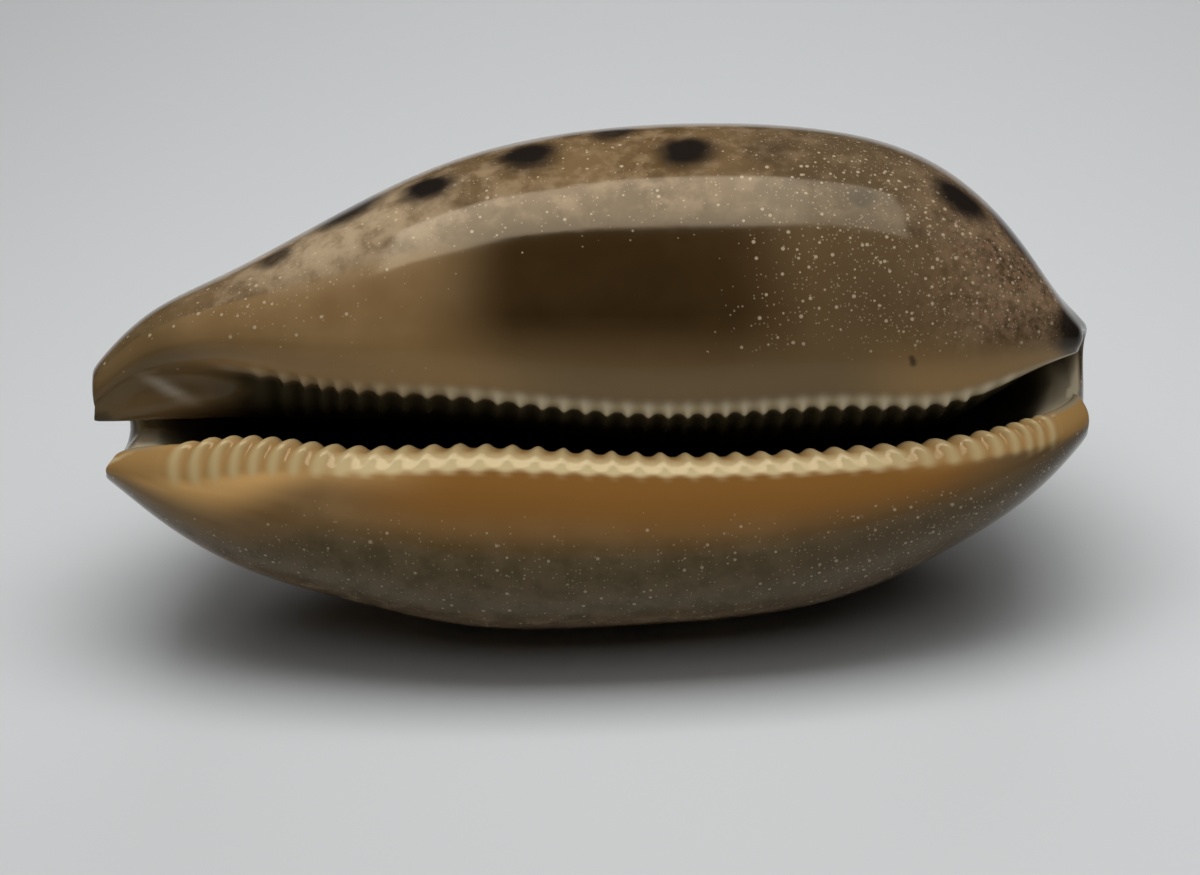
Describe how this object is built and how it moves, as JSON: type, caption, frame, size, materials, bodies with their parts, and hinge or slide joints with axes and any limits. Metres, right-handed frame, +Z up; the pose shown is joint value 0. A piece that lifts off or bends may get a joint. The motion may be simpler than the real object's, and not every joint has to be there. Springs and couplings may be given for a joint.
{
  "type": "tortoise cowrie shell",
  "caption": "Egg-shaped glossy sea shell lying on its back, its toothed slit facing forward and up, with mottled brown sides, cream lips and an open hollow inside.",
  "frame": {"origin": "on the floor, under the centre of the shell's box", "axes": "X along the length, from the anterior end to the posterior end; Y from the front, where the slit faces, to the back; Z up"},
  "size_m": [0.1088, 0.0498, 0.0532],
  "materials": {
    "cowrie": "glossy"
  },
  "bodies": {
    "root": {"shell": "cowrie"}
  },
  "joints": []
}
